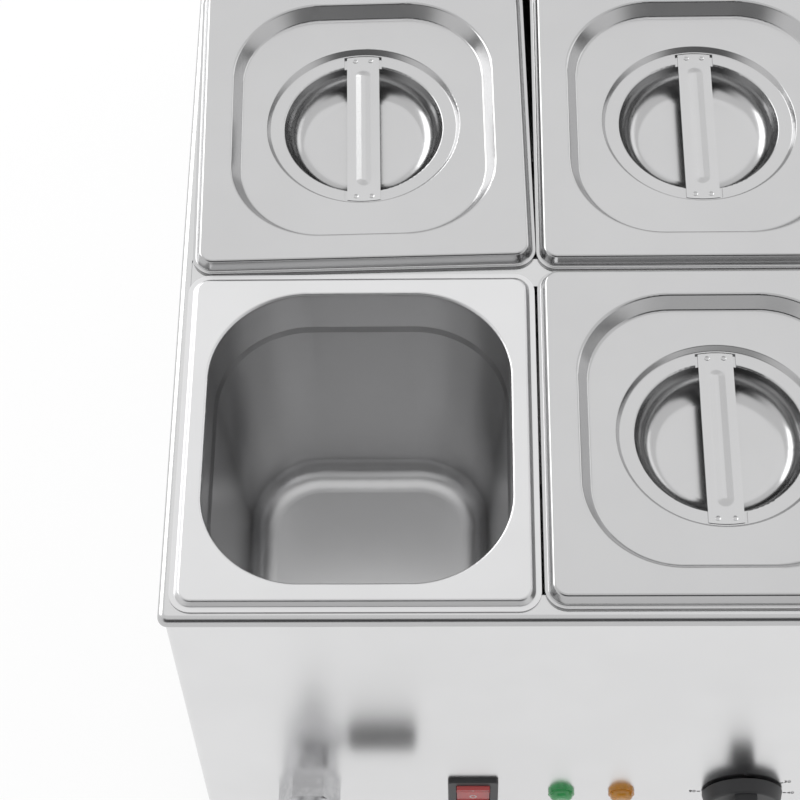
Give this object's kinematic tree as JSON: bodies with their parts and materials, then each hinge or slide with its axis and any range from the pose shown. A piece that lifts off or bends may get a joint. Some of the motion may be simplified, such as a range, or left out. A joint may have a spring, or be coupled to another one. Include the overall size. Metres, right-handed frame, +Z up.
{
  "type": "bain marie",
  "caption": "Countertop bain marie: a heated water bath with lift-out food pans, pressed lids with strap handles, a thermostat knob, a switch and a drain tap.",
  "frame": {"origin": "on the standing surface, under the middle of the whole part", "axes": "+X to the right, +Y to the back (the controls face -Y), +Z up"},
  "size_m": [0.3346, 0.6162, 0.2573],
  "materials": {
    "pan_steel": "satin stainless steel",
    "lid_steel": "satin stainless steel",
    "strap_steel": "satin stainless steel",
    "bath_steel": "satin stainless steel",
    "case_steel": "fine brushed stainless steel",
    "fastener": "plated steel",
    "element": "dull heat-stained steel tube",
    "brass": "machined brass",
    "tap_metal": "plated brass",
    "foot_rubber": "matt black rubber",
    "gasket": "silicone rubber",
    "black_plastic": "fine matt black plastic",
    "rocker_plastic": "glossy red plastic",
    "lens_green": "clear green plastic",
    "lens_amber": "clear amber plastic",
    "pale_plastic": "heat-proof cream plastic"
  },
  "bodies": {
    "base": {"base_tray": "case_steel", "bath_gaskets": "gasket", "bath_nuts": "brass", "bulb_gland": "brass", "casing": "case_steel", "casing_screws": "fastener", "cord_gland": "black_plastic", "cord_gland_nut": "black_plastic", "divider_bar_front": "bath_steel", "divider_bar_rear": "bath_steel", "drain_elbow": "brass", "drain_fitting": "tap_metal", "element_bushes": "brass", "element_rests": "bath_steel", "foot_front_left": "foot_rubber", "foot_front_right": "foot_rubber", "foot_nuts": "fastener", "foot_rear_left": "foot_rubber", "foot_rear_right": "foot_rubber", "foot_screws": "fastener", "heat_lamp": "lens_amber", "heating_element": "element", "lamp_nuts": "black_plastic", "overheat_cutout": "pale_plastic", "power_lamp": "lens_green", "rear_panel": "case_steel", "switch_housing": "black_plastic", "tap_body": "tap_metal", "tap_lock_nut": "brass", "terminal_block": "pale_plastic", "thermostat_body": "pale_plastic", "thermostat_bulb": "brass", "thermostat_nut": "fastener", "water_bath": "bath_steel"},
    "knob": {"control_knob": "black_plastic", "thermostat_shaft": "fastener"},
    "rocker": {"switch_rocker": "rocker_plastic"},
    "tap_handle": {"tap_ball": "tap_metal", "tap_lever": "tap_metal", "tap_grip": "black_plastic", "tap_nut": "fastener"},
    "pan_front_left": {"pan_front_left": "pan_steel"},
    "pan_front_right": {"pan_front_right": "pan_steel"},
    "pan_middle_left": {"pan_middle_left": "pan_steel"},
    "pan_middle_right": {"pan_middle_right": "pan_steel"},
    "pan_rear_left": {"pan_rear_left": "pan_steel"},
    "pan_rear_right": {"pan_rear_right": "pan_steel"},
    "lid_front_right": {"lid_front_right": "lid_steel", "strap_front_right": "strap_steel"},
    "lid_middle_left": {"lid_middle_left": "lid_steel", "strap_middle_left": "strap_steel"},
    "lid_middle_right": {"lid_middle_right": "lid_steel", "strap_middle_right": "strap_steel"},
    "lid_rear_left": {"lid_rear_left": "lid_steel", "strap_rear_left": "strap_steel"},
    "lid_rear_right": {"lid_rear_right": "lid_steel", "strap_rear_right": "strap_steel"}
  },
  "joints": [
    {"name": "pan_front_left_lift", "type": "slide", "parent": "base", "child": "pan_front_left", "axis": [0, 0, 1], "range_m": [0, 0.18]},
    {"name": "pan_front_right_lift", "type": "slide", "parent": "base", "child": "pan_front_right", "axis": [0, 0, 1], "range_m": [0, 0.18]},
    {"name": "pan_middle_left_lift", "type": "slide", "parent": "base", "child": "pan_middle_left", "axis": [0, 0, 1], "range_m": [0, 0.18]},
    {"name": "pan_middle_right_lift", "type": "slide", "parent": "base", "child": "pan_middle_right", "axis": [0, 0, 1], "range_m": [0, 0.18]},
    {"name": "pan_rear_left_lift", "type": "slide", "parent": "base", "child": "pan_rear_left", "axis": [0, 0, 1], "range_m": [0, 0.18]},
    {"name": "pan_rear_right_lift", "type": "slide", "parent": "base", "child": "pan_rear_right", "axis": [0, 0, 1], "range_m": [0, 0.18]},
    {"name": "lid_front_right_lift", "type": "slide", "parent": "pan_front_right", "child": "lid_front_right", "axis": [0, 0, 1], "range_m": [0, 0.08]},
    {"name": "lid_middle_left_lift", "type": "slide", "parent": "pan_middle_left", "child": "lid_middle_left", "axis": [0, 0, 1], "range_m": [0, 0.08]},
    {"name": "lid_middle_right_lift", "type": "slide", "parent": "pan_middle_right", "child": "lid_middle_right", "axis": [0, 0, 1], "range_m": [0, 0.08]},
    {"name": "lid_rear_left_lift", "type": "slide", "parent": "pan_rear_left", "child": "lid_rear_left", "axis": [0, 0, 1], "range_m": [0, 0.08]},
    {"name": "lid_rear_right_lift", "type": "slide", "parent": "pan_rear_right", "child": "lid_rear_right", "axis": [0, 0, 1], "range_m": [0, 0.08]},
    {"name": "knob_turn", "type": "hinge", "parent": "base", "child": "knob", "pos_m": [0.10439, -0.2461, 0.0518], "axis": [0, 1, 0], "range_deg": [0, 270]},
    {"name": "rocker_tilt", "type": "hinge", "parent": "base", "child": "rocker", "pos_m": [-0.0301, -0.2451, 0.0518], "axis": [-1, 0, 0], "range_deg": [0, 16]},
    {"name": "tap_turn", "type": "hinge", "parent": "base", "child": "tap_handle", "pos_m": [-0.11229, -0.2691, 0.0518], "axis": [0, 0, -1], "range_deg": [0, 90]}
  ]
}
